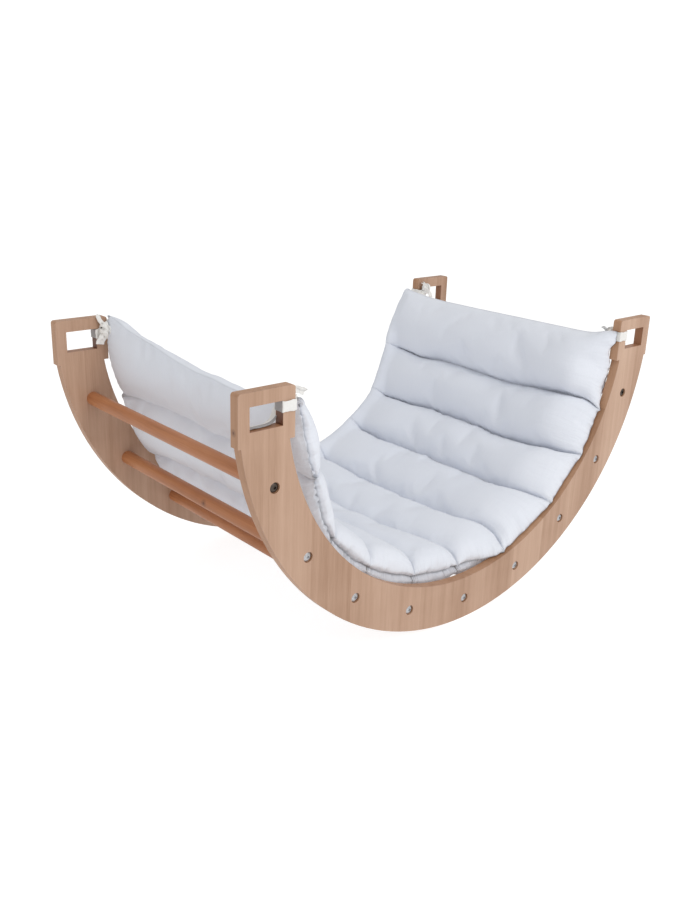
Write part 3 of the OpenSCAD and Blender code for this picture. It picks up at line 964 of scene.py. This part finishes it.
# back right: the knot stands over the pad's top edge, in front of the hand slot
t = Tape(1, 1)
K = (0.0150, -0.0115, 0.4880)
t.strip(**post_loop(None, K, 0.4770, 0.0168, seed=3))
for n, (tilt, lean, w, grow) in enumerate(((15, 0, .011, 0), (-55, 12, .011, .0008), (75, -12, .010, .0016), (-20, 18, .009, .0024))):
    t.ring(K, (.0080, .0058, .0088), tilt, w, 50 + n, lean, grow)
t.strip([(.012, -.012, .493), (.0095, -.0115, .498), (.0070, -.0100, .5015), (.0045, -.0115, .5000)], .0095,
        side=(1, 0.4, 0.5), crumple=.0009, cup=.0013, seed=61)
t.strip([(.018, -.011, .485), (.0240, -.0115, .4800), (.0280, -.0125, .4730), (.0290, -.0130, .4660)], .0115,
        side=(1, 0.1, 0.5), crumple=.0009, cup=.0014, seed=62, flare=0.15)
t.strip([(.010, -.012, .483), (.002, -.0115, .477), (-.009, -.0100, .4750), (-.019, -.0080, .4755), (-.0300, -.0060, .4790)], .0080,
        side=(0.1, 0.3, 1), crumple=.0009, fold=.0013, seed=63)
t.finish("tape_tie_back_right", "tie_back_right")

# front right: the pad's corner is drawn into the loop, one end hangs in the slot
t = Tape(1, -1)
K = (0.0095, -0.0118, 0.4790)
t.strip(**post_loop(None, K, 0.4780, 0.0180, c1=0.4775, seed=4))
for n, (tilt, lean, w, grow) in enumerate(((30, 0, .012, 0), (-45, 12, .011, .0008), (85, -12, .011, .0016), (-10, 18, .009, .0024))):
    t.ring(K, (.0080, .0058, .0090), tilt, w, 70 + n, lean, grow)
t.strip([(.004, -.013, .483), (-.001, -.0155, .4885), (-.0065, -.0165, .4925), (-.0120, -.0150, .4935)], .0085,
        side=(0.4, 1, 0.3), crumple=.0009, cup=.0012, seed=81)
t.strip([(.014, -.011, .474), (.0225, -.0075, .4720), (.0275, -.001, .4690), (.0300, .0060, .4630), (.0305, .0080, .4540)], .0095,
        side=(0.35, 1, 0.0), crumple=.0008, cup=.0010, seed=82, clear=False)
t.strip([(.006, -.011, .479), (.000, -.0095, .4800), (-.0045, -.0060, .4815), (-.0090, -.0030, .4860)], .0150, side=(0.15, 0.3, 1),
        crumple=.0010, fold=.0014, seed=83)
t.finish("tape_tie_front_right", "tie_front_right")

# ---------------------------------------------------------------- floor and light
bm = bmesh.new()
bmesh.ops.create_grid(bm, x_segments=4, y_segments=4, size=40.0)
me = bpy.data.meshes.new("floor")
bm.to_mesh(me)
bm.free()
floor = bpy.data.objects.new("floor", me)
floor.location.z = -0.0002
scene.collection.objects.link(floor)
g = Graph("floor_paper")
dif = g.node("ShaderNodeBsdfDiffuse")
dif.inputs["Color"].default_value = (0.40, 0.40, 0.40, 1)
emi = g.node("ShaderNodeEmission")
emi.inputs["Color"].default_value = (1, 1, 1, 1)
ray = g.node("ShaderNodeLightPath")
g.link(g.math("MULTIPLY_ADD", ray.outputs["Is Camera Ray"], 0.25, 0.58), emi.inputs["Strength"])
add = g.node("ShaderNodeAddShader")
g.link(dif.outputs[0], add.inputs[0])
g.link(emi.outputs[0], add.inputs[1])
g.link(add.outputs[0], g.out.inputs["Surface"])
floor.data.materials.append(g.mat)

world = bpy.data.worlds.new("world")
scene.world = world
world.use_nodes = True
wt = world.node_tree
bg = wt.nodes["Background"]
bg.inputs["Color"].default_value = (1.0, 1.0, 1.0, 1)
bg.inputs["Strength"].default_value = 0.67
bg2 = wt.nodes.new("ShaderNodeBackground")
bg2.inputs["Color"].default_value = (1, 1, 1, 1)
bg2.inputs["Strength"].default_value = 1.2
lp = wt.nodes.new("ShaderNodeLightPath")
mx = wt.nodes.new("ShaderNodeMixShader")
wt.links.new(lp.outputs["Is Camera Ray"], mx.inputs[0])
wt.links.new(bg.outputs[0], mx.inputs[1])
wt.links.new(bg2.outputs[0], mx.inputs[2])
wt.links.new(mx.outputs[0], wt.nodes["World Output"].inputs["Surface"])


def area(name, loc, aim, size, energy, color=(1, 1, 1)):
    l = bpy.data.lights.new(name, "AREA")
    l.shape = "DISK"
    l.size = size
    l.energy = energy
    l.color = color
    o = bpy.data.objects.new(name, l)
    o.location = loc
    o.rotation_mode = "QUATERNION"
    o.rotation_quaternion = (Vector(aim) - Vector(loc)).to_track_quat("-Z", "Y")
    scene.collection.objects.link(o)
    return o


area("key", (0.3, -2.9, 2.5), (0, 0, 0.2), 2.4, 39)
